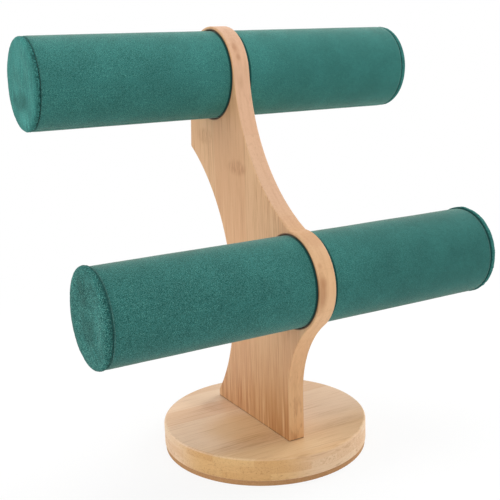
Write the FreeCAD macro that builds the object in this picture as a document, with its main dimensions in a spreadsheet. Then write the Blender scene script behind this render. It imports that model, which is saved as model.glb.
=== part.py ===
import FreeCAD, Part
import math
import os
import Sketcher

# A free-standing bracelet display: a bamboo stand that carries two cloth-covered bars in two rings.
# Lengths are in millimetres and angles in degrees. The origin is on the floor under the middle of
# the base, X runs along the bars, -Y is the front and Z is up.

SIZES = {
    # Base: a bamboo disc on a non-slip pad of slightly smaller radius
    "base_diameter": 150.0,
    "base_thickness": 16.0,
    "base_edge_round": 1.6,
    "base_lower_round": 0.8,
    "pad_thickness": 3.6,
    "pad_inset": 0.6,
    "pad_edge_round": 0.4,
    # Upright: a bamboo board, whose middle stands a little beside the middle of the base
    "upright_thickness": 12.7,
    "upright_offset": -4.0,
    "foot_front": 50.4,
    "foot_back": 51.9,
    "heel_height": 5.5,
    "lower_ring_reach": 57.0,
    "lower_ring_height": 117.0,
    "upper_ring_setback": 44.9,
    "upper_ring_height": 249.5,
    "ring_wall": 2.6,
    "ring_clearance": 0.5,
    "front_lower_radius": 72.0,
    "front_upper_radius": 122.0,
    "back_radius": 131.0,
    "head_drop": 54.5,
    "head_lean": 4.2,
    "corner_round": 2.0,
    "board_edge_round": 0.9,
    "hole_edge_round": 0.4,
    "foot_edge_round": 0.5,
    # Bars: paper tube, foam and cloth, closed by cloth-covered plugs
    "bar_length": 295.0,
    "bar_diameter": 61.8,
    "upper_bar_shift": 1.7,
    "cloth_thickness": 0.8,
    "foam_thickness": 2.0,
    "tube_wall": 3.0,
    "layer_gap": 0.1,
    "end_depth": 3.8,
    "end_round": 1.5,
    "seam_gap": 0.4,
    "spigot_length": 12.0,
    "spigot_gap": 0.1,
    "spigot_chamfer": 1.0,
    # Fasteners: screws that come up through the base into threaded inserts in the foot
    "screw_spacing": 60.0,
    "screw_diameter": 5.0,
    "screw_reach": 12.0,
    "screw_tip_chamfer": 0.8,
    "screw_head_diameter": 9.0,
    "screw_head_height": 3.0,
    "screw_head_round": 1.6,
    "screw_socket_width": 3.2,
    "screw_socket_depth": 1.8,
    "screw_clearance": 0.3,
    "thread_gap": 0.05,
    "washer_diameter": 12.0,
    "washer_thickness": 1.0,
    "counterbore_clearance": 1.0,
    "head_room": 0.8,
    "insert_diameter": 7.5,
    "insert_length": 14.0,
    "insert_groove_width": 3.0,
    "insert_groove_depth": 0.5,
    "insert_gap": 0.1,
    "insert_room": 1.0,
}

# Sizes that several pieces share, written in the names above
STAND_TOP = "Sizes.pad_thickness + Sizes.base_thickness"
BAR_RADIUS = "Sizes.bar_diameter / 2"
HOLE_RADIUS = BAR_RADIUS + " + Sizes.ring_clearance"
RING_RADIUS = HOLE_RADIUS + " + Sizes.ring_wall"
CLOTH_INNER = BAR_RADIUS + " - Sizes.cloth_thickness"
FOAM_OUTER = CLOTH_INNER + " - Sizes.layer_gap"
FOAM_INNER = FOAM_OUTER + " - Sizes.foam_thickness"
TUBE_OUTER = FOAM_INNER + " - Sizes.layer_gap"
TUBE_INNER = TUBE_OUTER + " - Sizes.tube_wall"
BAR_END = "Sizes.bar_length / 2"
SEAM = BAR_END + " - Sizes.end_depth"
SCREW_RADIUS = "Sizes.screw_diameter / 2"
SCREW_HOLE_RADIUS = SCREW_RADIUS + " + Sizes.screw_clearance"
SCREW_PLACES = ("-Sizes.screw_spacing / 2", "Sizes.screw_spacing / 2")
COUNTERBORE_DEPTH = "Sizes.screw_head_height + Sizes.washer_thickness + Sizes.head_room"

# Where the middle of each bar lies. The bars are pushed through the rings by hand, and the upper
# one sits a little to the right of the board.
BAR_PLACES = {
    "upper": ("Sizes.upright_offset + Sizes.upper_bar_shift", "Sizes.upper_ring_setback",
              STAND_TOP + " + Sizes.upper_ring_height"),
    "lower": ("Sizes.upright_offset", "-Sizes.lower_ring_reach", STAND_TOP + " + Sizes.lower_ring_height"),
}

# Names for the sketch's own numbers of a line's points and of its two axes
START_INDEX = 1
END_INDEX = 2
CENTRE_INDEX = 3
FLAT_AXIS_INDEX = -1
UPRIGHT_AXIS_INDEX = -2
ORIGIN = (FLAT_AXIS_INDEX, START_INDEX)

TOUCH = 1e-4
FULL_TURN = 360.0
HALF_TURN = 180.0
RIGHT_ANGLE = 90.0
HEXAGON_SIDES = 6
UP = FreeCAD.Vector(0, 0, 1)

doc = FreeCAD.newDocument("bracelet_display")
sheet = doc.addObject("Spreadsheet::Sheet", "Sizes")
for row, (name, number) in enumerate(SIZES.items(), start=1):
    sheet.set("A%d" % row, name)
    sheet.set("B%d" % row, str(number))
    sheet.setAlias("B%d" % row, name)
doc.recompute()


def size(expression):
    """The number that an expression in the sheet's names comes to."""
    return float(sheet.evalExpression(expression))


def new_body(label, across, depth, height):
    """A body whose own origin lies at a place given by three expressions."""
    body = doc.addObject("PartDesign::Body", label)
    body.Label = label
    for axis, expression in zip("xyz", (across, depth, height)):
        body.setExpression("Placement.Base." + axis, expression)
    return body


def origin_feature(body, role):
    return next(feature for feature in body.Origin.OriginFeatures if feature.Role == role)


def new_sketch(body, plane):
    sketch = body.newObject("Sketcher::SketchObject", body.Label + "_sketch")
    sketch.AttachmentSupport = [(origin_feature(body, plane), "")]
    sketch.MapMode = "FlatFace"
    return sketch


def bind(sketch, expression, kind, *where):
    """Adds a sketch dimension that follows an expression."""
    index = sketch.addConstraint(Sketcher.Constraint(kind, *where, size(expression)))
    sketch.setExpression("Constraints[%d]" % index, expression)


def hold_point(sketch, geometry, point, across, up):
    """Fixes a sketch point at two distances from the sketch's origin."""
    sideways = ("DistanceX", UPRIGHT_AXIS_INDEX, across)
    upwards = ("DistanceY", FLAT_AXIS_INDEX, up)
    for kind, axis, expression in (sideways, upwards):
        if expression == "0":
            sketch.addConstraint(Sketcher.Constraint("PointOnObject", geometry, point, axis))
        else:
            bind(sketch, expression, kind, *ORIGIN, geometry, point)


def draw_circle(sketch, radius, across="0", up="0"):
    centre = FreeCAD.Vector(size(across), size(up), 0)
    geometry = sketch.addGeometry(Part.Circle(centre, UP, size(radius)))
    hold_point(sketch, geometry, CENTRE_INDEX, across, up)
    bind(sketch, radius, "Radius", geometry)
    return geometry


def draw_outline(sketch, corners):
    """A closed outline of straight lines through corners given as pairs of expressions."""
    points = [FreeCAD.Vector(size(across), size(up), 0) for across, up in corners]
    lines = []
    for first, second in zip(points, points[1:] + points[:1]):
        lines.append(sketch.addGeometry(Part.LineSegment(first, second)))
    for line, following in zip(lines, lines[1:] + lines[:1]):
        sketch.addConstraint(Sketcher.Constraint("Coincident", line, END_INDEX, following, START_INDEX))
    for line, (across, up) in zip(lines, corners):
        hold_point(sketch, line, START_INDEX, across, up)


def pad(body, sketch, length, symmetric=False):
    feature = body.newObject("PartDesign::Pad", body.Label + "_pad")
    feature.Profile = sketch
    feature.setExpression("Length", length)
    if symmetric:
        feature.SideType = "Symmetric"
    doc.recompute()
    return feature


def cut_up(body, sketch, depth):
    """Cuts a sketch upwards into the body, which has to lose material."""
    before = body.Shape.Volume
    feature = body.newObject("PartDesign::Pocket", body.Label + "_pocket")
    feature.Profile = sketch
    feature.Reversed = True
    feature.setExpression("Length", depth)
    doc.recompute()
    if body.Shape.Volume > before - TOUCH:
        raise RuntimeError("a pocket cuts nothing in " + body.Label)
    return feature


def revolve(body, sketch, axis):
    feature = body.newObject("PartDesign::Revolution", body.Label + "_turning")
    feature.Profile = sketch
    feature.ReferenceAxis = (origin_feature(body, axis), [""])
    feature.Angle = FULL_TURN
    doc.recompute()
    return feature


def round_edges(body, radius, wanted):
    """Rounds the edges of the body's last feature that a test picks."""
    base = body.Tip
    names = ["Edge%d" % number for number, edge in enumerate(base.Shape.Edges, start=1) if wanted(edge)]
    feature = body.newObject("PartDesign::Fillet", body.Label + "_rounding")
    feature.Base = (base, names)
    feature.setExpression("Radius", radius)
    doc.recompute()
    return feature


def repeat_at_spacing(body, features):
    """Repeats features at the second screw's place, further back."""
    pattern = body.newObject("PartDesign::LinearPattern", body.Label + "_pair")
    pattern.Originals = features
    pattern.Direction = (origin_feature(body, "Y_Axis"), [""])
    pattern.setExpression("Length", "Sizes.screw_spacing")
    pattern.Occurrences = 2
    body.Tip = pattern
    doc.recompute()


def is_ring_edge(radius, height):
    """A test for a level circular edge of this radius at this height."""
    def test(edge):
        box = edge.BoundBox
        level = box.ZLength < TOUCH and abs(box.ZMax - size(height)) < TOUCH
        return level and abs(box.XLength / 2 - size(radius)) < TOUCH
    return test


def is_turned_edge(radius, along):
    """A test for a circular edge round the X axis, of this radius and at this place along it."""
    def test(edge):
        box = edge.BoundBox
        square = box.XLength < TOUCH and abs(box.XMax - size(along)) < TOUCH
        return square and abs(box.ZLength / 2 - size(radius)) < TOUCH
    return test


def make_base_pad():
    body = new_body("base_pad", "0", "0", "0")
    radius = "Sizes.base_diameter / 2 - Sizes.pad_inset"
    sketch = new_sketch(body, "XY_Plane")
    draw_circle(sketch, radius)
    pad(body, sketch, "Sizes.pad_thickness")
    round_edges(body, "Sizes.pad_edge_round", is_ring_edge(radius, "0"))
    return body


def make_base_disc():
    """The disc, with stepped holes for the screws that come up from below."""
    body = new_body("base_disc", "0", "0", "Sizes.pad_thickness")
    radius = "Sizes.base_diameter / 2"
    sketch = new_sketch(body, "XY_Plane")
    draw_circle(sketch, radius)
    pad(body, sketch, "Sizes.base_thickness")
    counterbore = ("Sizes.washer_diameter / 2 + Sizes.counterbore_clearance", COUNTERBORE_DEPTH)
    through_hole = (SCREW_HOLE_RADIUS, "Sizes.base_thickness")
    for hole_radius, depth in (counterbore, through_hole):
        sketch = new_sketch(body, "XY_Plane")
        for place in SCREW_PLACES:
            draw_circle(sketch, hole_radius, "Sizes.upright_offset", place)
        cut_up(body, sketch, depth)
    top = is_ring_edge(radius, "Sizes.base_thickness")
    bottom = is_ring_edge(radius, "0")
    round_edges(body, "Sizes.base_edge_round", top)
    round_edges(body, "Sizes.base_lower_round", bottom)
    return body


def polar(centre, radius, angle):
    return centre + FreeCAD.Vector(math.cos(angle), math.sin(angle), 0) * radius


def direction(start, end):
    return math.atan2(end.y - start.y, end.x - start.x)


def circle_centre(first, second, first_reach, second_reach):
    """The point at these distances from two others, on the left of the way from first to second."""
    span = (second - first).Length
    along = (first_reach ** 2 - second_reach ** 2 + span ** 2) / (2 * span)
    aside = math.sqrt(first_reach ** 2 - along ** 2)
    ahead = (second - first) / span
    return first + ahead * along + FreeCAD.Vector(-ahead.y, ahead.x, 0) * aside


def arc(centre, radius, start_angle, end_angle):
    return Part.ArcOfCircle(Part.Circle(centre, UP, radius), start_angle, end_angle)


def draw_upright(sketch):
    """The board's side outline, seen from the right, with the front towards negative values.

    It starts at the foot and runs up the back: a hollow curve, a leaning straight and the upper
    ring. It comes down the front by a hollow curve that meets the top of the lower ring in a slight
    corner, the lower ring and a second hollow curve that ends in the straight front of the foot.
    """
    ring = size(RING_RADIUS)
    lower = FreeCAD.Vector(-size("Sizes.lower_ring_reach"), size("Sizes.lower_ring_height"), 0)
    upper = FreeCAD.Vector(size("Sizes.upper_ring_setback"), size("Sizes.upper_ring_height"), 0)
    front_low_radius = size("Sizes.front_lower_radius")
    front_high_radius = size("Sizes.front_upper_radius")
    back_radius = size("Sizes.back_radius")
    lean = math.radians(size("Sizes.head_lean"))
    head_height = size("Sizes.upper_ring_height - Sizes.head_drop")

    foot_front = FreeCAD.Vector(-size("Sizes.foot_front"), 0, 0)
    foot_back = FreeCAD.Vector(size("Sizes.foot_back"), 0, 0)
    back_start = foot_back + FreeCAD.Vector(0, size("Sizes.heel_height"), 0)
    head_end = polar(upper, ring, lean)
    head_start = head_end + FreeCAD.Vector(math.tan(lean), -1, 0) * (head_end.y - head_height)
    back_centre = circle_centre(head_start, back_start, back_radius, back_radius)
    ring_top = lower + FreeCAD.Vector(0, ring, 0)
    front_high_centre = circle_centre(ring_top, upper, front_high_radius, front_high_radius + ring)
    low_across = foot_front.x - front_low_radius
    low_rise = math.sqrt((front_low_radius + ring) ** 2 - (low_across - lower.x) ** 2)
    front_low_centre = FreeCAD.Vector(low_across, lower.y - low_rise, 0)
    front_start = FreeCAD.Vector(foot_front.x, front_low_centre.y, 0)
    turn = math.radians(FULL_TURN)

    foot = sketch.addGeometry(Part.LineSegment(foot_front, foot_back))
    heel = sketch.addGeometry(Part.LineSegment(foot_back, back_start))
    back = sketch.addGeometry(arc(back_centre, back_radius, direction(back_centre, head_start),
                                  direction(back_centre, back_start) + turn))
    head = sketch.addGeometry(Part.LineSegment(head_start, head_end))
    upper_ring = sketch.addGeometry(arc(upper, ring, lean, direction(upper, front_high_centre)))
    front_high = sketch.addGeometry(arc(front_high_centre, front_high_radius,
                                        direction(front_high_centre, ring_top),
                                        direction(front_high_centre, upper)))
    lower_ring = sketch.addGeometry(arc(lower, ring, math.radians(RIGHT_ANGLE),
                                        direction(lower, front_low_centre) + turn))
    front_low = sketch.addGeometry(arc(front_low_centre, front_low_radius, 0,
                                       direction(front_low_centre, lower)))
    toe = sketch.addGeometry(Part.LineSegment(front_start, foot_front))

    corners = (
        (toe, END_INDEX, foot, START_INDEX),
        (foot, END_INDEX, heel, START_INDEX),
        (heel, END_INDEX, back, END_INDEX),
        (back, START_INDEX, head, START_INDEX),
        (front_high, START_INDEX, lower_ring, START_INDEX),
    )
    smooth_joins = (
        (head, END_INDEX, upper_ring, START_INDEX),
        (upper_ring, END_INDEX, front_high, END_INDEX),
        (lower_ring, END_INDEX, front_low, END_INDEX),
        (front_low, START_INDEX, toe, START_INDEX),
    )
    for corner in corners:
        sketch.addConstraint(Sketcher.Constraint("Coincident", *corner))
    for join in smooth_joins:
        sketch.addConstraint(Sketcher.Constraint("Tangent", *join))
    sketch.addConstraint(Sketcher.Constraint("PointOnObject", foot, START_INDEX, FLAT_AXIS_INDEX))
    sketch.addConstraint(Sketcher.Constraint("Horizontal", foot))
    sketch.addConstraint(Sketcher.Constraint("Vertical", heel))
    sketch.addConstraint(Sketcher.Constraint("Vertical", toe))
    sketch.addConstraint(Sketcher.Constraint("Vertical", lower_ring, CENTRE_INDEX, lower_ring, START_INDEX))

    bind(sketch, "Sizes.foot_front", "DistanceX", foot, START_INDEX, *ORIGIN)
    bind(sketch, "Sizes.foot_back", "DistanceX", *ORIGIN, foot, END_INDEX)
    bind(sketch, "Sizes.heel_height", "DistanceY", heel, START_INDEX, heel, END_INDEX)
    bind(sketch, "Sizes.lower_ring_reach", "DistanceX", lower_ring, CENTRE_INDEX, *ORIGIN)
    bind(sketch, "Sizes.lower_ring_height", "DistanceY", *ORIGIN, lower_ring, CENTRE_INDEX)
    bind(sketch, "Sizes.upper_ring_setback", "DistanceX", *ORIGIN, upper_ring, CENTRE_INDEX)
    bind(sketch, "Sizes.upper_ring_height", "DistanceY", *ORIGIN, upper_ring, CENTRE_INDEX)
    bind(sketch, "Sizes.head_drop", "DistanceY", head, START_INDEX, upper_ring, CENTRE_INDEX)
    bind(sketch, "Sizes.front_lower_radius", "Radius", front_low)
    bind(sketch, "Sizes.front_upper_radius", "Radius", front_high)
    bind(sketch, "Sizes.back_radius", "Radius", back)
    tilt = sketch.addConstraint(Sketcher.Constraint("Angle", head, math.radians(RIGHT_ANGLE) + lean))
    sketch.setExpression("Constraints[%d]" % tilt, "90 deg + Sizes.head_lean * 1 deg")
    for ring_arc in (lower_ring, upper_ring):
        bind(sketch, RING_RADIUS, "Radius", ring_arc)
        centre = lower if ring_arc == lower_ring else upper
        hole = sketch.addGeometry(Part.Circle(centre, UP, size(HOLE_RADIUS)))
        sketch.addConstraint(Sketcher.Constraint("Coincident", hole, CENTRE_INDEX, ring_arc, CENTRE_INDEX))
        bind(sketch, HOLE_RADIUS, "Radius", hole)
    return back_start, head_start


def make_upright():
    """The board, with its corners and edges eased and two holes in its foot for the inserts."""
    body = new_body("upright", "Sizes.upright_offset", "0", STAND_TOP)
    outline = new_sketch(body, "YZ_Plane")
    corners = draw_upright(outline)
    pad(body, outline, "Sizes.upright_thickness", symmetric=True)

    def is_corner(edge):
        middle = edge.CenterOfMass
        return any(math.hypot(middle.y - corner.x, middle.z - corner.y) < TOUCH for corner in corners)

    def is_face_edge(edge):
        return edge.BoundBox.XLength < TOUCH and edge.BoundBox.ZMax > TOUCH

    def is_hole_edge(edge):
        return is_face_edge(edge) and edge.isClosed()

    def is_outline_edge(edge):
        return is_face_edge(edge) and not edge.isClosed()

    def is_foot_edge(edge):
        return edge.BoundBox.ZMax < TOUCH

    round_edges(body, "Sizes.corner_round", is_corner)
    round_edges(body, "Sizes.board_edge_round", is_outline_edge)
    round_edges(body, "Sizes.foot_edge_round", is_foot_edge)
    round_edges(body, "Sizes.hole_edge_round", is_hole_edge)
    holes = new_sketch(body, "XY_Plane")
    for place in SCREW_PLACES:
        draw_circle(holes, "Sizes.insert_diameter / 2 + Sizes.insert_gap", up=place)
    cut_up(body, holes, "Sizes.insert_length + Sizes.insert_room")
    return body


def make_layer(label, place, outer, inner, half_length):
    """One round layer of a bar, open at both ends."""
    body = new_body(label, *place)
    sketch = new_sketch(body, "YZ_Plane")
    draw_circle(sketch, outer)
    draw_circle(sketch, inner)
    pad(body, sketch, "2 * (" + half_length + ")", symmetric=True)
    return body


def turn_to_side(body, side):
    """End pieces are drawn at the right end of the bar, and the left ones are turned round."""
    if side == "left":
        body.Placement.Rotation = FreeCAD.Rotation(UP, HALF_TURN)


def make_end_plug(label, place, side):
    """A plug with a spigot in the tube and a flange that carries the end cloth."""
    body = new_body(label, *place)
    turn_to_side(body, side)
    flange_face = BAR_END + " - Sizes.cloth_thickness - Sizes.layer_gap"
    flange_radius = CLOTH_INNER + " - Sizes.layer_gap"
    spigot_radius = TUBE_INNER + " - Sizes.spigot_gap"
    spigot_end = SEAM + " - Sizes.spigot_length"
    sketch = new_sketch(body, "XY_Plane")
    draw_outline(sketch, [
        (spigot_end, "0"),
        (flange_face, "0"),
        (flange_face, flange_radius),
        (SEAM, flange_radius),
        (SEAM, spigot_radius),
        (spigot_end + " + Sizes.spigot_chamfer", spigot_radius),
        (spigot_end, spigot_radius + " - Sizes.spigot_chamfer"),
    ])
    revolve(body, sketch, "X_Axis")
    round_edges(body, "Sizes.end_round - Sizes.cloth_thickness", is_turned_edge(flange_radius, flange_face))
    return body


def make_end_cover(label, place, side):
    """The cloth over a plug's flange: a shallow cup with a soft rim."""
    body = new_body(label, *place)
    turn_to_side(body, side)
    inner_face = BAR_END + " - Sizes.cloth_thickness"
    sketch = new_sketch(body, "XY_Plane")
    draw_outline(sketch, [
        (BAR_END, "0"),
        (BAR_END, BAR_RADIUS),
        (SEAM, BAR_RADIUS),
        (SEAM, CLOTH_INNER),
        (inner_face, CLOTH_INNER),
        (inner_face, "0"),
    ])
    revolve(body, sketch, "X_Axis")
    round_edges(body, "Sizes.end_round", is_turned_edge(BAR_RADIUS, BAR_END))
    round_edges(body, "Sizes.end_round - Sizes.cloth_thickness", is_turned_edge(CLOTH_INNER, inner_face))
    return body


def make_bar(bar):
    """All pieces of one bar, centred in its ring."""
    place = BAR_PLACES[bar]
    pieces = [
        make_layer(bar + "_core_tube", place, TUBE_OUTER, TUBE_INNER, SEAM),
        make_layer(bar + "_foam_wrap", place, FOAM_OUTER, FOAM_INNER, SEAM + " - Sizes.seam_gap"),
        make_layer(bar + "_cloth_sleeve", place, BAR_RADIUS, CLOTH_INNER, SEAM + " - Sizes.seam_gap"),
    ]
    for side in ("left", "right"):
        pieces.append(make_end_plug(bar + "_" + side + "_end_plug", place, side))
        pieces.append(make_end_cover(bar + "_" + side + "_end_cover", place, side))
    return pieces


def fastener_body(label, height):
    """A body at the front screw's place, at a height given by an expression."""
    return new_body(label, "Sizes.upright_offset", SCREW_PLACES[0], height)


def draw_hexagon(sketch, width):
    """A regular hexagon round the origin, with this distance across its flats."""
    corner_reach = "(" + width + ") / 2 / cos(30 deg)"
    reach = size(corner_reach)
    guide = draw_circle(sketch, corner_reach)
    sketch.setConstruction(guide, True)
    step = math.radians(FULL_TURN / HEXAGON_SIDES)
    points = [polar(FreeCAD.Vector(), reach, number * step) for number in range(HEXAGON_SIDES)]
    lines = []
    for first, second in zip(points, points[1:] + points[:1]):
        lines.append(sketch.addGeometry(Part.LineSegment(first, second)))
    for line, following in zip(lines, lines[1:] + lines[:1]):
        sketch.addConstraint(Sketcher.Constraint("Coincident", line, END_INDEX, following, START_INDEX))
    for line in lines:
        sketch.addConstraint(Sketcher.Constraint("PointOnObject", line, START_INDEX, guide))
    for line in lines[1:]:
        sketch.addConstraint(Sketcher.Constraint("Equal", lines[0], line))
    sketch.addConstraint(Sketcher.Constraint("PointOnObject", lines[0], START_INDEX, FLAT_AXIS_INDEX))


def make_base_screws():
    """Two button-head screws with hexagon sockets, heads down in the base's counterbores."""
    top_of_head = "Sizes.screw_head_height"
    grip = "Sizes.washer_thickness + Sizes.base_thickness - (" + COUNTERBORE_DEPTH + ")"
    tip = top_of_head + " + " + grip + " + Sizes.screw_reach"
    head_radius = "Sizes.screw_head_diameter / 2"
    body = fastener_body("base_screws", "Sizes.pad_thickness + Sizes.head_room")
    sketch = new_sketch(body, "XZ_Plane")
    draw_outline(sketch, [
        ("0", "0"),
        (head_radius, "0"),
        (head_radius, top_of_head),
        (SCREW_RADIUS, top_of_head),
        (SCREW_RADIUS, tip + " - Sizes.screw_tip_chamfer"),
        (SCREW_RADIUS + " - Sizes.screw_tip_chamfer", tip),
        ("0", tip),
    ])
    revolve(body, sketch, "Z_Axis")
    round_edges(body, "Sizes.screw_head_round", is_ring_edge(head_radius, "0"))
    turned = body.Group[-2:]
    socket = new_sketch(body, "XY_Plane")
    draw_hexagon(socket, "Sizes.screw_socket_width")
    pocket = cut_up(body, socket, "Sizes.screw_socket_depth")
    repeat_at_spacing(body, turned + [pocket])
    return body


def make_base_washers():
    body = fastener_body("base_washers", "Sizes.pad_thickness + Sizes.head_room + Sizes.screw_head_height")
    sketch = new_sketch(body, "XY_Plane")
    draw_circle(sketch, "Sizes.washer_diameter / 2")
    draw_circle(sketch, SCREW_HOLE_RADIUS)
    ring = pad(body, sketch, "Sizes.washer_thickness")
    repeat_at_spacing(body, [ring])
    return body


def make_foot_inserts():
    """Two threaded sleeves in the foot, each with a groove round its middle that grips the wood."""
    body = fastener_body("foot_inserts", STAND_TOP)
    bore = SCREW_RADIUS + " + Sizes.thread_gap"
    outer = "Sizes.insert_diameter / 2"
    groove = outer + " - Sizes.insert_groove_depth"
    groove_start = "(Sizes.insert_length - Sizes.insert_groove_width) / 2"
    groove_end = "(Sizes.insert_length + Sizes.insert_groove_width) / 2"
    sketch = new_sketch(body, "XZ_Plane")
    draw_outline(sketch, [
        (bore, "0"),
        (outer, "0"),
        (outer, groove_start),
        (groove, groove_start),
        (groove, groove_end),
        (outer, groove_end),
        (outer, "Sizes.insert_length"),
        (bore, "Sizes.insert_length"),
    ])
    sleeve = revolve(body, sketch, "Z_Axis")
    repeat_at_spacing(body, [sleeve])
    return body


def check(pieces):
    """Stops if any object failed, or a piece has no sound shape."""
    for thing in doc.Objects:
        if "Invalid" in thing.State or "Error" in thing.State:
            raise RuntimeError("failed: " + thing.Label)
    for piece in pieces:
        shape = piece.Shape
        if shape.isNull() or not shape.isValid() or not shape.Solids:
            raise RuntimeError("no sound shape: " + piece.Label)
        box = shape.optimalBoundingBox()
        print("%-24s solids %d  volume %9.1f  x %7.2f %7.2f  y %7.2f %7.2f  z %7.2f %7.2f" % (
            piece.Label, len(shape.Solids), shape.Volume,
            box.XMin, box.XMax, box.YMin, box.YMax, box.ZMin, box.ZMax))


pieces = [
    make_base_pad(),
    make_base_disc(),
    make_upright(),
    make_base_screws(),
    make_base_washers(),
    make_foot_inserts(),
]
for bar in BAR_PLACES:
    pieces += make_bar(bar)
doc.recompute()
check(pieces)
os.makedirs("parts", exist_ok=True)
for piece in pieces:
    piece.Shape.exportStep("parts/" + piece.Label + ".step")
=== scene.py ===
import math

import bpy
from mathutils import Matrix, Vector, noise


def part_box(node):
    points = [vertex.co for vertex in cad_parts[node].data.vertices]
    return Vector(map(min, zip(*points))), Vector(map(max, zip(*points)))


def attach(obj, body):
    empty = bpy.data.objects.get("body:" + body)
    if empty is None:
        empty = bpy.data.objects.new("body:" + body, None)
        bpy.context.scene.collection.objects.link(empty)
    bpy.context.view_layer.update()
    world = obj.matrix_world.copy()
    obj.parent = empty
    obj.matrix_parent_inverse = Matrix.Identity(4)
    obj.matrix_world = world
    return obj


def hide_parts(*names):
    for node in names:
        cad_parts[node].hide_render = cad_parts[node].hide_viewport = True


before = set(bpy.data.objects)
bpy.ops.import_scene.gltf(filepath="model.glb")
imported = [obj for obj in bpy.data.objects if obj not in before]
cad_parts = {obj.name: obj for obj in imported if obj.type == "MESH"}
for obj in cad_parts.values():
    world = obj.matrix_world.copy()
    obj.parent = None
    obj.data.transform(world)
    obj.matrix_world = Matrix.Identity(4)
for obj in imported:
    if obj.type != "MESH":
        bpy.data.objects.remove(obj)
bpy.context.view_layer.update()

# The looks of a bracelet display: suede-covered bars in a bamboo stand. Lengths are in metres. A name
# that ends in FADE holds the two values between which a fade runs, and then what it gives at each. A
# name that ends in BUMP holds the depth of a relief and its strength.

MILLI = 0.001
FULL_TURN = 2 * math.pi
QUARTER_TURN = FULL_TURN / 4
BARS = ("upper", "lower")
SIDES = {"left": -1, "right": 1}
WHITE = (1.0, 1.0, 1.0, 1.0)

# Noise lies round its middle, mostly between its low and its high
NOISE_LOW = 0.3
NOISE_MIDDLE = 0.5
NOISE_HIGH = 0.7

# How squarely a surface faces a way before that starts to count, and before it counts fully
FACING_START = 0.2
FACING_FULL = 0.8


def linear(red, green, blue):
    """A colour given in 0 to 255 as it looks on a screen, as the light values that shaders take. The
    numbers are those of the usual curve of screens."""
    def one(level):
        share = level / 255
        if share <= 0.04045:
            return share / 12.92
        return ((share + 0.055) / 1.055) ** 2.4
    return (one(red), one(green), one(blue), 1.0)


class Nodes:
    """A tree of shader nodes, which are added by short calls."""

    def __init__(self, tree):
        self.tree = tree

    def feed(self, socket, value):
        if isinstance(value, bpy.types.NodeSocket):
            self.tree.links.new(value, socket)
        else:
            socket.default_value = value

    def add(self, kind, inputs, **settings):
        node = self.tree.nodes.new("ShaderNode" + kind)
        for name, value in settings.items():
            setattr(node, name, value)
        for key, value in inputs.items():
            self.feed(node.inputs[key], value)
        return node

    def parts(self, vector):
        return self.add("SeparateXYZ", {0: vector}).outputs[:3]

    def vector(self, x, y, z):
        return self.add("CombineXYZ", {0: x, 1: y, 2: z}).outputs[0]

    def stretched(self, vector, factors):
        return self.add("VectorMath", {0: vector, 1: factors}, operation="MULTIPLY").outputs[0]

    def length(self, vector):
        return self.add("VectorMath", {0: vector}, operation="LENGTH").outputs["Value"]

    def either(self, choice, first, second):
        """The first vector where choice is zero, and the second where it is one."""
        return self.add("Mix", {0: choice, 4: first, 5: second}, data_type="VECTOR").outputs[1]

    def math(self, operation, first, second=0.0, third=0.0):
        return self.add("Math", {0: first, 1: second, 2: third}, operation=operation).outputs[0]

    def product(self, first, *others):
        for other in others:
            first = self.math("MULTIPLY", first, other)
        return first

    def gap(self, first, second):
        """How far apart two values are."""
        return self.math("ABSOLUTE", self.math("SUBTRACT", first, second))

    def reach(self, first, second):
        """The length of two distances at right angles."""
        return self.math("SQRT", self.math("ADD", self.product(first, first), self.product(second, second)))

    def noise(self, vector, size, detail=2.0, rough=0.5):
        """Cloudy values round one half, with clouds of about this size."""
        inputs = {"Vector": vector, "Scale": 1 / size, "Detail": detail, "Roughness": rough}
        return self.add("TexNoise", inputs).outputs["Fac"]

    def cells(self, vector, size, output="Distance"):
        """Cells of about this size: the distance from a cell's middle, or each cell's own colour."""
        return self.add("TexVoronoi", {"Vector": vector, "Scale": 1 / size}).outputs[output]

    def random(self, first, second):
        """One fixed chance value for each pair of whole numbers."""
        vector = self.vector(first, second, 0.0)
        return self.add("TexWhiteNoise", {"Vector": vector}, noise_dimensions="3D").outputs["Value"]

    def fade(self, value, low, high, start=0.0, end=1.0):
        """Goes smoothly from start to end while a value goes from low to high."""
        inputs = {"Value": value, "From Min": low, "From Max": high, "To Min": start, "To Max": end}
        return self.add("MapRange", inputs, interpolation_type="SMOOTHSTEP").outputs[0]

    def cloudy(self, value, start=0.0, end=1.0):
        """Goes smoothly from start to end over the range in which noise mostly lies."""
        return self.fade(value, NOISE_LOW, NOISE_HIGH, start, end)

    def mix(self, factor, first, second, blend="MIX"):
        node = self.add("Mix", {0: factor, 6: first, 7: second}, data_type="RGBA", blend_type=blend)
        return node.outputs[2]

    def tone(self, colour, factor):
        """Makes a colour lighter or darker by a factor."""
        grey = self.vector(factor, factor, factor)
        return self.mix(1.0, colour, grey, blend="MULTIPLY")


class Paint(Nodes):
    """A material with one Principled shader."""

    def __init__(self, name, roughness, specular=0.5):
        self.material = bpy.data.materials.new(name)
        self.material.use_nodes = True
        super().__init__(self.material.node_tree)
        self.shader = self.tree.nodes["Principled BSDF"]
        self.shader.inputs["Roughness"].default_value = roughness
        self.shader.inputs["Specular IOR Level"].default_value = specular

    def place(self):
        """Where a point lies on the object, in the part's own frame."""
        return self.add("TexCoord", {}).outputs["Object"]

    def normal(self):
        """The three parts of the direction that a surface faces."""
        return self.parts(self.add("NewGeometry", {}).outputs["Normal"])

    def bump(self, height, distance, strength):
        inputs = {"Height": height, "Distance": distance, "Strength": strength}
        normal = self.add("Bump", inputs).outputs[0]
        self.feed(self.shader.inputs["Normal"], normal)

    def colour(self, value):
        self.feed(self.shader.inputs["Base Color"], value)

    def roughness(self, value):
        self.feed(self.shader.inputs["Roughness"], value)


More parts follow.
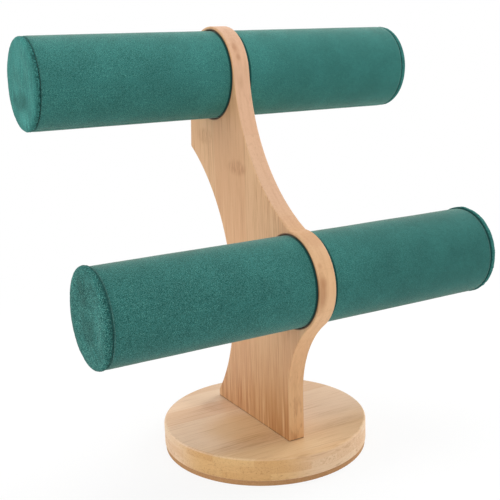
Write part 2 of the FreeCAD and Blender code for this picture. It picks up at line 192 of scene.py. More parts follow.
# Spots: a knot, stain, brushed patch or patch of painted shade is given by its place along two ways, its
# half sizes along them and how strong it is. It is at its strongest within its core.
SPOT_CORE = 0.4


def spot(paint, along, across, shape):
    """The strength of a spot in its core, falling to nothing at its border."""
    place_along, place_across, half_length, half_width, strength = shape
    first = paint.math("DIVIDE", paint.math("SUBTRACT", along, place_along), half_length)
    second = paint.math("DIVIDE", paint.math("SUBTRACT", across, place_across), half_width)
    return paint.fade(paint.reach(first, second), 1.0, SPOT_CORE, 0.0, strength)


# Suede: a dark ground with lighter tips, brushed in clumps, and frayed along its seams, with painted
# shade in the seams' grooves and dark dots beside them
SUEDE_GROUND = linear(35, 87, 82)
SUEDE_NAP = linear(60, 122, 116)
SUEDE_TIP = linear(110, 170, 158)
SUEDE_SHADE = linear(22, 64, 61)
SUEDE_BACKING = linear(108, 134, 130)
SUEDE_SHEEN = linear(212, 206, 190)
SUEDE_BUMP = (0.22 * MILLI, 0.6)
SMOOTH_SHARE = 0.25
NAP_SIZE = 0.5 * MILLI
NAP_MEAN = 0.5
NAP_LOW = 0.34
NAP_HIGH = 0.66
TUFT_SIZE = 0.36 * MILLI
TUFT_HEIGHT = 0.6
TIP_FADE = (0.54, 0.74, 0.0, 0.5)
HOLLOW_FADE = (0.46, 0.26, 0.0, 0.7)
CLUMP_SIZE = 3.5 * MILLI
CLOUD_SIZE = 22 * MILLI
CLOUD_SHARE = 0.07
PATCH_WANDER = 9 * MILLI
FRAY_SIZE = 1.3 * MILLI
FRAY_REACH = 0.9 * MILLI
CUT_EDGE_PLACE = 0.95 * MILLI
CUT_EDGE_HALF_WIDTH = 0.3 * MILLI
SEAM_CORE = 0.3
SEAM_SHADE = 0.85
SEAM_DOTS_REACH = 4.2 * MILLI
SEAM_DOTS_SIZE = 1.1 * MILLI
SEAM_DOTS_FADE = (0.56, 0.42, 0.0, 1.0)
SEAM_DOTS_RIGHT = 0.3

# Where the rings hold the bars, the nap is pressed inside them, and a painted shadow darkens a line
# on either side of each ring. The cloth is painted lighter towards the rings, as painted light.
board_low, board_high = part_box("upright")
RING_MIDDLE = (board_low.x + board_high.x) / 2
RING_HALF_DEPTH = (board_high.x - board_low.x) / 2
LEFT_SHADOW_LINE_AWAY = 0.2 * MILLI
RIGHT_SHADOW_LINE_AWAY = 2.4 * MILLI
RING_SHADOW_LINES = (
    RING_MIDDLE - RING_HALF_DEPTH - LEFT_SHADOW_LINE_AWAY,
    RING_MIDDLE + RING_HALF_DEPTH + RIGHT_SHADOW_LINE_AWAY,
)
MARK_HALF_WIDTH = 1.2 * MILLI
SHADOW_LINE_CORE = 0.5
PRESSED_INSIDE = 0.3
# Painted light: the cloth is lighter towards the rings
RING_PAINTED_LIGHT = 1.13
RING_PAINTED_LIGHT_REACH = 60 * MILLI


def suede_nap(paint, place, standing, coarse):
    """The colour of the nap and its height, from how much its tufts stand up and how thick they are."""
    nap = paint.noise(place, coarse * NAP_SIZE, detail=2.0, rough=0.6)
    tufts = paint.noise(place, coarse * TUFT_SIZE, detail=1.0)
    swing = paint.product(standing, NAP_MEAN)
    least = paint.math("SUBTRACT", NAP_MEAN, swing)
    most = paint.math("ADD", NAP_MEAN, swing)
    colour = paint.mix(paint.fade(nap, NAP_LOW, NAP_HIGH, least, most), SUEDE_GROUND, SUEDE_NAP)
    tips = paint.product(paint.fade(tufts, *TIP_FADE), standing)
    colour = paint.mix(tips, colour, SUEDE_TIP)
    hollows = paint.product(paint.fade(tufts, *HOLLOW_FADE), standing)
    colour = paint.mix(hollows, colour, SUEDE_SHADE)
    return colour, paint.math("ADD", nap, paint.product(tufts, TUFT_HEIGHT))


def from_seams(paint, along, bar):
    """The distance along a bar to the nearer of its two seams."""
    from_middle = paint.gap(along, (bar.left_seam + bar.right_seam) / 2)
    return paint.gap(from_middle, (bar.right_seam - bar.left_seam) / 2)


def dotted_shade(paint, place, along, bar, from_seam, seam_dots):
    """How dark the dots beside a seam are. They are weaker at the right."""
    share = paint.fade(along, bar.start, bar.end, seam_dots, SEAM_DOTS_RIGHT * seam_dots)
    dots = paint.fade(paint.noise(place, SEAM_DOTS_SIZE), *SEAM_DOTS_FADE)
    return paint.product(dots, paint.fade(from_seam, SEAM_DOTS_REACH, 0.0), share)


def ring_shadow_and_pressed_shade(paint, along, from_ring, shadow_and_pressed_share):
    """How dark the nap is where a ring presses it inside, and the painted shadow of the ring along the lines
    beside it.
    """
    inside_share = PRESSED_INSIDE * shadow_and_pressed_share
    shade = paint.fade(from_ring, RING_HALF_DEPTH, RING_HALF_DEPTH - MARK_HALF_WIDTH, 0.0, inside_share)
    # A painted shadow of the ring on the cloth, along a line on either side of it
    for mark in RING_SHADOW_LINES:
        away = paint.gap(along, mark)
        line = paint.fade(away, MARK_HALF_WIDTH, SHADOW_LINE_CORE * MARK_HALF_WIDTH, 0.0, shadow_and_pressed_share)
        shade = paint.math("MAXIMUM", shade, line)
    return shade


def suede(name, bar, lightness, grain, coarse=1.0, clumps=0.04, brush=(1.0, 1.0, 1.0), cut_edge=0.0,
          seam_reach=0.5 * MILLI, seam_dots=0.35, sheen=(0.4, 0.35), shadow_and_pressed_share=0.0, patches=()):
    """Green suede for a piece of one bar. Lightness sets how light the piece is, and holds painted shade
    that makes the lower bar's pieces darker than the upper bar's. Grain says how much its tufts stand up at
    the left, coarse how thick they are, clumps how uneven they lie, brush the way they are stroked, and
    cut_edge how much of the pale backing shows along the cloth's cut ends. Seam_reach is how far the
    painted shade in a seam's groove reaches, seam_dots how dotted the cloth is beside it, sheen how strong
    and how broad the light on the rims is, and the ring's share how dark its painted shadow lines and its
    pressed nap are. Patches are lighter and darker spots, most where the nap lies another way and some
    painted shade, with places back and up from the axis and the change of lightness."""
    paint = Paint(name, roughness=0.95, specular=0.1)
    place = paint.place()
    along, back, up = paint.parts(place)
    standing = paint.fade(along, bar.start, bar.end, grain, SMOOTH_SHARE * grain)
    colour, height = suede_nap(paint, place, standing, coarse)
    clump = paint.noise(paint.stretched(place, brush), CLUMP_SIZE, detail=3.0)
    colour = paint.tone(colour, paint.cloudy(clump, 1 - clumps, 1 + clumps))
    # The piece's lightness, which holds painted shade, scales these clouds
    cloud = paint.noise(place, CLOUD_SIZE, detail=2.0)
    darkest = (1 - CLOUD_SHARE) * lightness
    lightest = (1 + CLOUD_SHARE) * lightness
    colour = paint.tone(colour, paint.cloudy(cloud, darkest, lightest))
    from_ring = paint.gap(along, RING_MIDDLE)
    # Painted light makes the cloth lighter towards the rings
    colour = paint.tone(colour, paint.fade(from_ring, RING_PAINTED_LIGHT_REACH, RING_HALF_DEPTH, 1.0, RING_PAINTED_LIGHT))
    wander = paint.product(paint.math("SUBTRACT", clump, NOISE_MIDDLE), PATCH_WANDER)
    patch_back = paint.math("ADD", paint.math("SUBTRACT", back, bar.axis_y), wander)
    patch_up = paint.math("ADD", paint.math("SUBTRACT", up, bar.axis_z), wander)
    for patch in patches:
        colour = paint.tone(colour, paint.math("ADD", 1.0, spot(paint, patch_back, patch_up, patch)))

    from_seam = from_seams(paint, along, bar)
    fray = paint.math("SUBTRACT", paint.noise(place, FRAY_SIZE), NOISE_MIDDLE)
    frayed = paint.math("ADD", from_seam, paint.product(fray, FRAY_REACH))
    backing = paint.fade(paint.gap(frayed, CUT_EDGE_PLACE), CUT_EDGE_HALF_WIDTH, 0.0, 0.0, cut_edge)
    colour = paint.mix(backing, colour, SUEDE_BACKING)
    dots = dotted_shade(paint, place, along, bar, from_seam, seam_dots)
    # Painted shade darkens the groove of each seam
    seam = paint.fade(frayed, seam_reach, SEAM_CORE * seam_reach, 0.0, SEAM_SHADE)
    # The ring's painted shadow lines, and its pressed nap inside
    ring_shadow_and_pressed = ring_shadow_and_pressed_shade(paint, along, from_ring, shadow_and_pressed_share)
    shade = paint.math("MAXIMUM", paint.math("MAXIMUM", dots, seam), ring_shadow_and_pressed)
    paint.colour(paint.mix(shade, colour, SUEDE_SHADE))

    sheen_weight, sheen_roughness = sheen
    paint.shader.inputs["Sheen Weight"].default_value = sheen_weight
    paint.shader.inputs["Sheen Roughness"].default_value = sheen_roughness
    paint.shader.inputs["Sheen Tint"].default_value = SUEDE_SHEEN
    paint.bump(height, *SUEDE_BUMP)
    return paint.material


# Bamboo: strips glued side by side, with fine lines along them that come and go, and a knot here and
# there. Its eased edges are a little paler, as a painted highlight.
STRIP_WIDTH = 22 * MILLI
STRIP_TONE_FADE = (0.0, 1.0, 0.15, 0.85)
STRIP_MIDDLE = 0.5
JOINT_START = 0.488
JOINT_FULL = 0.499
PLY_SHIFT = 0.37
GRAIN_STRETCH = 0.025
FIBRE_SIZE = 0.5 * MILLI
FIBRE_FADE = (0.5, 0.76, 0.0, 0.3)
LINE_SIZE = 1.4 * MILLI
DARK_LINE_FADE = (0.52, 0.7, 0.0, 0.36)
PALE_LINE_FADE = (0.46, 0.3, 0.0, 0.5)
CALM_SIZE = 40 * MILLI
CALM_FADE = (0.35, 0.65, 0.3, 1.0)
DOT_SIZE = 1.0 * MILLI
DOT_FADE = (0.34, 0.1, 0.0, 0.32)
DASH_SIZE = 1.0 * MILLI
DASH_STRETCH = 0.14
DASH_LOW = 0.44
DASH_HIGH = 0.6
BAMBOO_FIBRE = linear(168, 110, 66)
BAMBOO_KNOT = linear(166, 110, 68)
# The colour of the painted highlight on the eased edges
BAMBOO_EDGE_HIGHLIGHT = linear(232, 196, 156)
BAMBOO_BUMP = (0.05 * MILLI, 0.5)
SATIN_ROUGHNESS = (0.44, 0.58)
EDGE_HIGHLIGHT_SHARE = 0.1
EDGE_IN_FADE = (0.2, 0.5, 0.0, 1.0)
EDGE_OUT_FADE = (0.97, 0.8, 0.0, 1.0)


def bamboo_colour(paint, wood, along, across, through, ply, cut, contrast):
    """The colour of bamboo and the height of its fibres, from distances along the grain, across the
    strips and through the board, and the number of the ply. Cut is one where the grain is cut across,
    and contrast says how strongly its lines show. Wood holds its pale and warm tones, its knots, how
    much of a knot is broken up into dashes, and how strongly the joints show."""
    strip_place = paint.math("ADD", paint.math("DIVIDE", across, STRIP_WIDTH), paint.product(ply, PLY_SHIFT))
    strip = paint.math("FLOOR", strip_place)
    chance = paint.random(strip, ply)
    shifted = paint.math("ADD", across, chance)
    grain = paint.vector(paint.product(along, GRAIN_STRETCH), shifted, through)
    fibres = paint.noise(grain, FIBRE_SIZE, detail=3.0, rough=0.6)
    lines = paint.noise(grain, LINE_SIZE, detail=2.0)
    calm = paint.noise(paint.vector(along, shifted, through), CALM_SIZE)
    strength = paint.product(paint.fade(calm, *CALM_FADE), contrast)

    colour = paint.mix(paint.fade(chance, *STRIP_TONE_FADE), wood["pale"], wood["bounce_shade"])
    dark_lines = paint.product(paint.fade(lines, *DARK_LINE_FADE), strength)
    colour = paint.mix(dark_lines, colour, BAMBOO_FIBRE)
    pale_lines = paint.product(paint.fade(lines, *PALE_LINE_FADE), strength)
    colour = paint.mix(pale_lines, colour, wood["pale"])
    fine_lines = paint.product(paint.fade(fibres, *FIBRE_FADE), contrast)
    colour = paint.mix(fine_lines, colour, BAMBOO_FIBRE)

    dots = paint.fade(paint.cells(grain, DOT_SIZE), *DOT_FADE)
    colour = paint.mix(paint.product(dots, cut), colour, BAMBOO_FIBRE)

    dashed = paint.vector(paint.product(along, DASH_STRETCH), shifted, through)
    dashes = paint.fade(paint.noise(dashed, DASH_SIZE), DASH_LOW, DASH_HIGH, 1 - wood["dashed_share"], 1.0)
    for knot in wood["knots"]:
        colour = paint.mix(paint.product(spot(paint, along, across, knot), dashes), colour, BAMBOO_KNOT)

    from_middle = paint.gap(paint.math("FRACT", strip_place), STRIP_MIDDLE)
    joint = paint.fade(from_middle, JOINT_START, JOINT_FULL, 0.0, wood["joint_share"])
    return paint.mix(joint, colour, BAMBOO_FIBRE), fibres


def slanted(paint, facing):
    """Is largest where a surface leans halfway, as on an eased edge. Facing is how squarely it faces."""
    return paint.product(paint.fade(facing, *EDGE_IN_FADE), paint.fade(facing, *EDGE_OUT_FADE), EDGE_HIGHLIGHT_SHARE)


def finish_bamboo(paint, colour, fibres, edge):
    """Lightens the eased edges as a painted highlight, makes them a little rougher, and adds the sheen of a
    satin coat.
    """
    paint.colour(paint.mix(edge, colour, BAMBOO_EDGE_HIGHLIGHT))
    paint.roughness(paint.math("ADD", paint.cloudy(fibres, *SATIN_ROUGHNESS), edge))
    paint.bump(fibres, *BAMBOO_BUMP)


# The board: its narrow faces are pinker, and warmer lower down, with painted shade and light in their
# tones. Its foot is painted warmer and darker low down, most of all in front, as painted reflection of
# the base and painted shade, with strong fine lines, and a painted shadow where it meets the base. Its
# faces that look up are darker, as end grain and painted shade. Its rings carry a few brown spots and a
# painted shade on the lower ring's top, and a painted shadow darkens the rims of their holes.
UPRIGHT_WOOD = {
    "pale": linear(221, 179, 136),
    "bounce_shade": linear(209, 156, 114),
    "dashed_share": 0.8,
    "joint_share": 0.2,
    "knots": (
        (205 * MILLI, 11 * MILLI, 7 * MILLI, 18 * MILLI, 0.5),
        (224 * MILLI, 58 * MILLI, 8 * MILLI, 14 * MILLI, 0.5),
    ),
}
UPRIGHT_CONTRAST = 1.2
UPRIGHT_LINES = (186 * MILLI, -30 * MILLI, 42 * MILLI, 30 * MILLI, 1.8)
WIDE_START = 0.3
NARROW_SHARE = 0.5
# Narrow face tones: the colour of edge grain, with painted shade and light in it
NARROW_TONE = linear(236, 193, 164)
NARROW_LOW_TONE = linear(234, 188, 142)
NARROW_FOOT_TONE = linear(231, 180, 124)
LOW_TONE_HEIGHT = 165 * MILLI
LOW_TONE_BLEND = 25 * MILLI
STREAK_SIZE = 2.4 * MILLI
STREAK_STRETCH = (1.0, 0.1, 0.05)
STREAK_FADE = (0.45, 0.75, 0.0, 0.35)
MOTTLE_SIZE = 1.6 * MILLI
MOTTLE_STRETCH = (1.0, 1.0, 0.2)
MOTTLE_FADE = (0.48, 0.72, 0.0, 0.9)
FOOT_CONTRAST = 3.2
# The colour of the painted warm reflection of the base and painted shade on the foot
FOOT_PAINTED_BOUNCE_TONE = linear(184, 132, 82)
FOOT_TONE_HEIGHT = 90 * MILLI
FOOT_NARROW_SHARE = 0.4
FOOT_WIDE_SHARE = 0.8
FOOT_FRONT_FADE = (30 * MILLI, -30 * MILLI, 0.35, 1.15)
FOOT_LINE_SIZE = 2.0 * MILLI
FOOT_LINE_STRETCH = (1.0, 1.0, 0.04)
FOOT_DARK_FADE = (0.5, 0.72, 0.0, 0.72)
FOOT_PALE_FADE = (0.5, 0.28, 0.0, 0.72)
CONTACT_HEIGHT = 0.9 * MILLI
CONTACT_CORE = 0.3
CONTACT_SHARE = 0.7
END_GRAIN_AND_TOP_SHADE_FADE = (0.2, 0.9, 1.0, 0.8)
# The colour of painted shadow, at the foot's contact line and round the rings' holes
PAINTED_SHADOW_TONE = linear(62, 40, 26)
HOLE_SHADOW_SHARE = 0.85
HOLE_SHADOW_DEPTH = 1.3 * MILLI
HOLE_SHADOW_CORE = 0.5
HOLE_RADIUS = 31.4 * MILLI
RING_SPOT_CORE = 0.2
RING_SPOTS = (
    (Vector((-6.0, 16.9, 288.4)) * MILLI, (2.6 * MILLI, 5 * MILLI, 5 * MILLI), 0.35),
    (Vector((-5.0, 13.3, 281.6)) * MILLI, (2.2 * MILLI, 4 * MILLI, 3.5 * MILLI), 0.35),
    (Vector((-5.5, 16.0, 286.0)) * MILLI, (4.0 * MILLI, 14 * MILLI, 16 * MILLI), 0.25),
    (Vector((-5.0, 11.3, 264.0)) * MILLI, (3.0 * MILLI, 6 * MILLI, 8 * MILLI), 0.18),
    (Vector((-7.4, -86.8, 152.9)) * MILLI, (2.2 * MILLI, 4 * MILLI, 3 * MILLI), 0.3),
    (Vector((-6.8, -90.4, 142.7)) * MILLI, (3.4 * MILLI, 5 * MILLI, 5 * MILLI), 0.3),
    (Vector((-8.6, -90.0, 136.0)) * MILLI, (5.4 * MILLI, 12 * MILLI, 20 * MILLI), 0.6),
    # Painted shade on the top of the lower ring
    (Vector((-3.1, -72.4, 166.9)) * MILLI, (12 * MILLI, 14 * MILLI, 8 * MILLI), 0.25),
)


def foot_tint(paint, colour, place, y, facing, foot_share):
    """The foot's painted warm reflection and shade, stronger low down and in front, and the dark and pale
    lines in it.
    """
    wide = paint.fade(facing, WIDE_START, FACING_FULL, FOOT_NARROW_SHARE, FOOT_WIDE_SHARE)
    front = paint.fade(y, *FOOT_FRONT_FADE)
    colour = paint.mix(paint.product(foot_share, wide, front), colour, FOOT_PAINTED_BOUNCE_TONE)
    lines = paint.noise(paint.stretched(place, FOOT_LINE_STRETCH), FOOT_LINE_SIZE, detail=3.0)
    dark_lines = paint.product(paint.fade(lines, *FOOT_DARK_FADE), foot_share)
    colour = paint.mix(dark_lines, colour, BAMBOO_FIBRE)
    pale_lines = paint.product(paint.fade(lines, *FOOT_PALE_FADE), foot_share)
    return paint.mix(pale_lines, colour, UPRIGHT_WOOD["pale"])


def narrow_tint(paint, colour, place, z, narrow, foot_share):
    """The tones of the narrow faces, which hold painted shade and light, and the mottled look of the foot's.
    """
    low_share = paint.fade(z, LOW_TONE_HEIGHT + LOW_TONE_BLEND, LOW_TONE_HEIGHT)
    colour = paint.mix(narrow, colour, paint.mix(low_share, NARROW_TONE, NARROW_LOW_TONE))
    colour = paint.mix(paint.product(foot_share, narrow), colour, NARROW_FOOT_TONE)
    mottle = paint.noise(paint.stretched(place, MOTTLE_STRETCH), MOTTLE_SIZE, detail=3.0)
    mottled = paint.product(paint.fade(mottle, *MOTTLE_FADE), foot_share, narrow)
    return paint.mix(mottled, colour, BAMBOO_FIBRE)


def ring_stains(paint, colour, place):
    """The brown spots on the rings, and one painted shade on the lower ring's top, each given by its middle,
    its half sizes and its strength.
    """
    for middle, half_sizes, strength in RING_SPOTS:
        offset = paint.add("VectorMath", {0: place, 1: middle}, operation="SUBTRACT").outputs[0]
        away = paint.length(paint.stretched(offset, [1 / half_size for half_size in half_sizes]))
        colour = paint.mix(paint.fade(away, 1.0, RING_SPOT_CORE, 0.0, strength), colour, BAMBOO_KNOT)
    return colour


def upright_bamboo(bars):
    """Strips that stand upright, side by side from front to back."""
    paint = Paint("bamboo_upright", roughness=0.5, specular=0.3)
    place = paint.place()
    x, y, z = paint.parts(place)
    normal_x, _, normal_z = paint.normal()
    facing = paint.math("ABSOLUTE", normal_x)
    foot = board_low.z
    foot_share = paint.fade(z, foot + FOOT_TONE_HEIGHT, foot)
    cut = paint.fade(paint.math("ABSOLUTE", normal_z), FACING_START, FACING_FULL)
    contrast = paint.fade(z, foot + FOOT_TONE_HEIGHT, foot, UPRIGHT_CONTRAST, FOOT_CONTRAST)
    wide = paint.fade(facing, WIDE_START, FACING_FULL)
    contrast = paint.math("ADD", contrast, paint.product(spot(paint, z, y, UPRIGHT_LINES), wide))
    colour, fibres = bamboo_colour(paint, UPRIGHT_WOOD, z, y, x, 0.0, cut, contrast)
    colour = foot_tint(paint, colour, place, y, facing, foot_share)
    narrow = paint.fade(facing, FACING_FULL, WIDE_START, 0.0, NARROW_SHARE)
    colour = narrow_tint(paint, colour, place, z, narrow, foot_share)
    # Painted shadow along the line where the foot meets the base
    contact_shadow = paint.fade(z, foot + CONTACT_HEIGHT, foot + CONTACT_CORE * CONTACT_HEIGHT, 0.0, CONTACT_SHARE)
    colour = paint.mix(contact_shadow, colour, PAINTED_SHADOW_TONE)
    # Faces that look up are darker: end grain, and painted shade on the tops
    colour = paint.tone(colour, paint.fade(normal_z, *END_GRAIN_AND_TOP_SHADE_FADE))
    streaks = paint.noise(paint.stretched(place, STREAK_STRETCH), STREAK_SIZE, detail=3.0)
    streaked = paint.product(paint.fade(streaks, *STREAK_FADE), narrow)
    colour = paint.mix(streaked, colour, BAMBOO_FIBRE)
    colour = ring_stains(paint, colour, place)
    edge = slanted(paint, facing)
    for bar in bars:
        away = paint.reach(paint.math("SUBTRACT", y, bar.axis_y), paint.math("SUBTRACT", z, bar.axis_z))
        # A painted shadow of the gap round each hole darkens its rim
        hole_shadow = paint.fade(away, HOLE_RADIUS + HOLE_SHADOW_DEPTH, HOLE_RADIUS + HOLE_SHADOW_CORE * HOLE_SHADOW_DEPTH)
        colour = paint.mix(paint.product(hole_shadow, HOLE_SHADOW_SHARE), colour, PAINTED_SHADOW_TONE)
        edge = paint.product(edge, paint.math("SUBTRACT", 1.0, hole_shadow))
    finish_bamboo(paint, colour, fibres, edge)
    return paint.material


# The base: its top is painted warmer and darker in front and in a broad spot beside the foot, as painted
# reflection and shade, and darker to the right and in a spot at the back left, as painted shade. Its side
# is painted darker and more honey-coloured where it faces front left or back right, as painted shade.
DISC_WOOD = {
    "pale": linear(237, 208, 177),
    "bounce_shade": linear(223, 184, 147),
    "dashed_share": 0.45,
    "joint_share": 0.08,
    "knots": (
        (-25 * MILLI, 34 * MILLI, 12 * MILLI, 15 * MILLI, 0.28),
        (40 * MILLI, -44 * MILLI, 44 * MILLI, 8 * MILLI, 0.26),
        (46 * MILLI, -26 * MILLI, 26 * MILLI, 6 * MILLI, 0.14),
        # A brown stain with painted shadow in it, in front left of the foot
        (-34 * MILLI, -36 * MILLI, 40 * MILLI, 12 * MILLI, 0.3),
    ),
}
DISC_PLIES = 3
CROSSED_PLY = 1.0
PLY_TOLERANCE = 0.5
DISC_CONTRAST = 0.95
DISC_CUT_FULL = 0.7
# How strong the painted highlight on the base's eased edges is
DISC_EDGE_HIGHLIGHT = 0.4
DISC_SIDE_SHADE_TINT = linear(240, 223, 180)
DISC_SIDE_SHADE_FADE = (0.0, 0.4, 0.2, 0.95)
DISC_FRONT_SHADE_TINT = linear(254, 244, 222)
DISC_FRONT_SHADE_FADE = (-14 * MILLI, -52 * MILLI, 0.0, 1.0)
DISC_BOUNCE_SHADE_TINT = linear(244, 234, 213)
DISC_BOUNCE_SHADE_SPOT = (-24 * MILLI, -12 * MILLI, 38 * MILLI, 36 * MILLI, 1.0)
DISC_SHADE_SPOT = (-14 * MILLI, 62 * MILLI, 46 * MILLI, 32 * MILLI, -0.15)
DISC_RIGHT_SHADE_FADE = (0.0, 50 * MILLI, 1.0, 0.84)


def disc_bamboo():
    """Three crossed plies: the upper and lower run along the bars, the middle one across them."""
    paint = Paint("bamboo_disc", roughness=0.5, specular=0.3)
    x, y, z = paint.parts(paint.place())
    normal_x, normal_y, normal_z = paint.normal()
    low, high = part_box("base_disc")
    height = paint.math("DIVIDE", paint.math("SUBTRACT", z, low.z), (high.z - low.z) / DISC_PLIES)
    ply = paint.math("FLOOR", height)
    crossed = paint.math("COMPARE", ply, CROSSED_PLY, PLY_TOLERANCE)

    def by_grain(first, second, third):
        straight = paint.vector(first, second, third)
        return paint.parts(paint.either(crossed, straight, paint.vector(second, first, third)))

    along, across, through = by_grain(x, y, z)
    end_on = by_grain(normal_x, normal_y, normal_z)[0]
    cut = paint.fade(paint.math("ABSOLUTE", end_on), FACING_START, DISC_CUT_FULL)
    colour, fibres = bamboo_colour(paint, DISC_WOOD, along, across, through, ply, cut, DISC_CONTRAST)
    top = paint.fade(normal_z, FACING_START, FACING_FULL)
    # Painted shade and warm reflection on the top, in front and in a spot beside the foot
    front = paint.product(top, paint.fade(y, *DISC_FRONT_SHADE_FADE))
    colour = paint.mix(front, colour, DISC_FRONT_SHADE_TINT, blend="MULTIPLY")
    bounce_shade = paint.product(top, spot(paint, x, y, DISC_BOUNCE_SHADE_SPOT))
    colour = paint.mix(bounce_shade, colour, DISC_BOUNCE_SHADE_TINT, blend="MULTIPLY")
    # Painted shade: the top is darker to the right and in a spot at the back left
    right_shade = paint.fade(x, *DISC_RIGHT_SHADE_FADE)
    shade = paint.product(right_shade, paint.math("ADD", 1.0, spot(paint, x, y, DISC_SHADE_SPOT)))
    colour = paint.mix(top, colour, paint.tone(colour, shade))
    facing = paint.math("ABSOLUTE", normal_z)
    side = paint.fade(facing, FACING_FULL, FACING_START)
    # Painted shade on the side, darker and more honey-coloured where it faces front left or back right
    side_shade = paint.product(side, paint.fade(paint.product(normal_x, normal_y), *DISC_SIDE_SHADE_FADE))
    colour = paint.mix(side_shade, colour, DISC_SIDE_SHADE_TINT, blend="MULTIPLY")
    finish_bamboo(paint, colour, fibres, paint.product(slanted(paint, facing), DISC_EDGE_HIGHLIGHT))
    return paint.material


# The pad
RUBBER_TONE = linear(182, 136, 92)
CRUMB_TONE = linear(194, 150, 106)
CRUMB_SIZE = 0.9 * MILLI
CRUMB_FADE = (0.2, 0.95, 0.0, 0.6)
SPECKLE_TONE = linear(146, 102, 66)
SPECKLE_SIZE = 0.5 * MILLI
SPECKLE_FADE = (0.56, 0.76, 0.0, 0.35)
PAD_BUMP = (0.08 * MILLI, 0.4)


def cork_rubber():
    """The non-slip layer: brown rubber with fine cork crumbs in it."""
    paint = Paint("cork_rubber", roughness=0.8, specular=0.3)
    place = paint.place()
    crumbs = paint.parts(paint.cells(place, CRUMB_SIZE, output="Color"))[0]
    speckle = paint.noise(place, SPECKLE_SIZE, detail=3.0)
    colour = paint.mix(paint.fade(crumbs, *CRUMB_FADE), RUBBER_TONE, CRUMB_TONE)
    paint.colour(paint.mix(paint.fade(speckle, *SPECKLE_FADE), colour, SPECKLE_TONE))
    paint.bump(paint.math("ADD", speckle, crumbs), *PAD_BUMP)
    return paint.material


# The foam
PORE_TONE = linear(190, 184, 165)
FOAM_TONE = linear(236, 231, 215)
PORE_SIZE = 0.7 * MILLI
PORE_FADE = (0.15, 0.6, 0.0, 1.0)
FOAM_BUMP = (0.3 * MILLI, 0.8)


def foam():
    """Open foam: pale, with small pores."""
    paint = Paint("foam", roughness=1.0, specular=0.1)
    pores = paint.cells(paint.place(), PORE_SIZE)
    paint.colour(paint.mix(paint.fade(pores, *PORE_FADE), PORE_TONE, FOAM_TONE))
    paint.bump(pores, *FOAM_BUMP)
    return paint.material


# The tubes
CARD_DARK = linear(150, 112, 76)
CARD_LIGHT = linear(178, 138, 98)
CARD_JOIN = linear(96, 68, 44)
CARD_PITCH = 90 * MILLI
CARD_MIDDLE = 0.5
CARD_JOIN_FADE = (0.49, 0.498, 0.0, 0.7)
CARD_FIBRE_SIZE = 1.2 * MILLI
CARD_FIBRE_STRETCH = (0.3, 1.0, 1.0)
CARD_BUMP = (0.15 * MILLI, 0.6)


def wound_card(bar):
    """A paper tube: kraft fibres, and the joins of strips wound round it at a slant."""
    paint = Paint(bar.name + "_card", roughness=0.9, specular=0.2)
    place = paint.place()
    x, y, z = paint.parts(place)
    up = paint.math("SUBTRACT", z, bar.axis_z)
    back = paint.math("SUBTRACT", y, bar.axis_y)
    turns = paint.math("DIVIDE", paint.math("ARCTAN2", up, back), FULL_TURN)
    winding = paint.math("ADD", paint.math("DIVIDE", x, CARD_PITCH), turns)
    join = paint.fade(paint.gap(paint.math("FRACT", winding), CARD_MIDDLE), *CARD_JOIN_FADE)
    stretched = paint.stretched(place, CARD_FIBRE_STRETCH)
    fibres = paint.noise(stretched, CARD_FIBRE_SIZE, detail=4.0, rough=0.65)
    colour = paint.mix(paint.cloudy(fibres), CARD_DARK, CARD_LIGHT)
    paint.colour(paint.mix(join, colour, CARD_JOIN))
    paint.bump(paint.math("SUBTRACT", fibres, join), *CARD_BUMP)
    return paint.material


# The plugs
PLUG_DARK = linear(142, 108, 76)
PLUG_LIGHT = linear(188, 154, 116)
PLUG_FIBRE_SIZE = 0.7 * MILLI
PLUG_FIBRE_STRETCH = (1.0, 0.35, 0.6)
PLUG_CLOUD_SIZE = 6 * MILLI
PLUG_CLOUD_TONES = (0.92, 1.06)
PLUG_BUMP = (0.1 * MILLI, 0.5)


def fibreboard():
    """Raw turned fibreboard: short fibres and dust in brown tones."""
    paint = Paint("fibreboard", roughness=0.9, specular=0.2)
    place = paint.place()
    stretched = paint.stretched(place, PLUG_FIBRE_STRETCH)
    fibres = paint.noise(stretched, PLUG_FIBRE_SIZE, detail=4.0, rough=0.7)
    cloud = paint.noise(place, PLUG_CLOUD_SIZE)
    colour = paint.mix(paint.cloudy(fibres), PLUG_DARK, PLUG_LIGHT)
    paint.colour(paint.tone(colour, paint.cloudy(cloud, *PLUG_CLOUD_TONES)))
    paint.bump(fibres, *PLUG_BUMP)
    return paint.material


# The screws, washers and inserts
ZINC = {"bright": linear(205, 207, 210), "dull": linear(160, 163, 168), "groove_size": 0.25 * MILLI}
BRASS = {"bright": linear(214, 178, 98), "dull": linear(176, 138, 66), "groove_size": 0.3 * MILLI}
GROOVE_STRETCH = (0.05, 0.05, 1.0)
STAIN_SIZE = 2.5 * MILLI
STAIN_TONES = (0.9, 1.05)
STAIN_ROUGHNESS = (0.25, 0.42)
METAL_BUMP = (0.05 * MILLI, 0.4)


def turned_metal(name, bright, dull, groove_size):
    """Metal with fine tool lines round the upright axis."""
    paint = Paint(name, roughness=0.32)
    paint.shader.inputs["Metallic"].default_value = 1.0
    place = paint.place()
    lines = paint.noise(paint.stretched(place, GROOVE_STRETCH), groove_size, detail=2.0)
    stain = paint.noise(place, STAIN_SIZE, detail=3.0)
    colour = paint.mix(paint.cloudy(lines), dull, bright)
    paint.colour(paint.tone(colour, paint.cloudy(stain, *STAIN_TONES)))
    paint.roughness(paint.cloudy(stain, *STAIN_ROUGHNESS))
    paint.bump(lines, *METAL_BUMP)
    return paint.material


def dress(node, material):
    """Gives a carried-over CAD node its material."""
    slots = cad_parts[node].data.materials
    slots.clear()
    slots.append(material)


# Pieces that are turned round a bar's axis
EDGE_ROWS = 6


def wave(point, size, depth):
    """A gentle unevenness, the same each time for the same point."""
    return noise.noise(point / size) * depth


